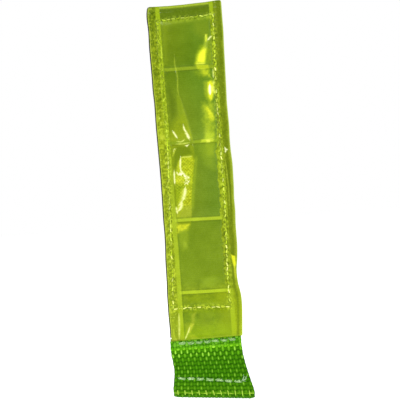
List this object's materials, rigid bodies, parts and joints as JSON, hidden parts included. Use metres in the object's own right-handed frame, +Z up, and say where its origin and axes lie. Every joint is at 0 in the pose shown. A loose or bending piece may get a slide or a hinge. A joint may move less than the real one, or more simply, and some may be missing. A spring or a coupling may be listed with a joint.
{
  "type": "reflective wristband",
  "caption": "Flat reflective wristband of welded, puffed film cells on a soft lining, with a folded webbing tab at the lower end and a hook tape behind the upper end.",
  "frame": {"origin": "centre of the skin-side face at the band's mid length", "axes": "+Z up the band towards the hook-tape end, +X across the band, +Y out of the skin side, so the reflective side faces -Y"},
  "size_m": [0.0438, 0.0036, 0.2155],
  "materials": {
    "prismatic_pvc": "glossy fluorescent lime film with an embossed prism lattice",
    "rear_film": "smooth lime carrier film",
    "lining_black": "brushed loop pile",
    "hook_black": "moulded hooks on a woven ground",
    "webbing_green": "coarse plain-woven webbing",
    "thread_lime": "twisted polyester thread",
    "thread_pale": "thick pale twisted thread"
  },
  "bodies": {
    "panel_1": {"front_film_1": "prismatic_pvc", "rear_film_1": "rear_film", "hook_tape": "hook_black", "stitch_left_1": "thread_lime", "bobbin_left_1": "thread_lime", "stitch_right_1": "thread_lime", "bobbin_right_1": "thread_lime", "stitch_top": "thread_lime", "bobbin_top": "thread_lime"},
    "panel_2": {"front_film_2": "prismatic_pvc", "rear_film_2": "rear_film", "lining_2": "lining_black", "stitch_left_2": "thread_lime", "bobbin_left_2": "thread_lime", "stitch_right_2": "thread_lime", "bobbin_right_2": "thread_lime"},
    "panel_3": {"front_film_3": "prismatic_pvc", "rear_film_3": "rear_film", "lining_3": "lining_black", "stitch_left_3": "thread_lime", "bobbin_left_3": "thread_lime", "stitch_right_3": "thread_lime", "bobbin_right_3": "thread_lime"},
    "panel_4": {"front_film_4": "prismatic_pvc", "rear_film_4": "rear_film", "lining_4": "lining_black", "stitch_left_4": "thread_lime", "bobbin_left_4": "thread_lime", "stitch_right_4": "thread_lime", "bobbin_right_4": "thread_lime"},
    "panel_5": {"front_film_5": "prismatic_pvc", "rear_film_5": "rear_film", "lining_5": "lining_black", "stitch_left_5": "thread_lime", "bobbin_left_5": "thread_lime", "stitch_right_5": "thread_lime", "bobbin_right_5": "thread_lime", "stitch_bottom": "thread_lime", "bobbin_bottom": "thread_lime"},
    "tab": {"tab_webbing": "webbing_green", "film_end_rear": "rear_film", "film_end_front": "prismatic_pvc", "tab_stitch_upper": "thread_pale", "tab_stitch_lower": "thread_pale", "tab_bobbin_upper": "thread_pale", "tab_bobbin_lower": "thread_pale"}
  },
  "joints": [
    {"name": "wrap", "type": "hinge", "parent": "panel_3", "child": "panel_4", "pos_m": [0, 0, -0.0098], "axis": [1, 0, 0], "range_deg": [0, 74.7]},
    {"name": "bend_lower", "type": "hinge", "parent": "panel_4", "child": "panel_5", "pos_m": [0, 0, -0.049], "axis": [1, 0, 0], "range_deg": [0, 64.7]},
    {"name": "bend_tab", "type": "hinge", "parent": "panel_5", "child": "tab", "pos_m": [0, 0, -0.0729], "axis": [1, 0, 0], "range_deg": [0, 64.5]},
    {"name": "bend_upper", "type": "hinge", "parent": "panel_3", "child": "panel_2", "pos_m": [0, 0, 0.032], "axis": [-1, 0, 0], "range_deg": [0, 82.1]},
    {"name": "flap", "type": "hinge", "parent": "panel_2", "child": "panel_1", "pos_m": [0, 0, 0.0719], "axis": [-1, 0, 0], "range_deg": [0, 74.3]}
  ],
  "couplings": [
    {"joint": "bend_lower", "follows": "wrap", "ratio": 0.86465},
    {"joint": "bend_tab", "follows": "wrap", "ratio": 0.86133},
    {"joint": "bend_upper", "follows": "wrap", "ratio": 1.098}
  ]
}
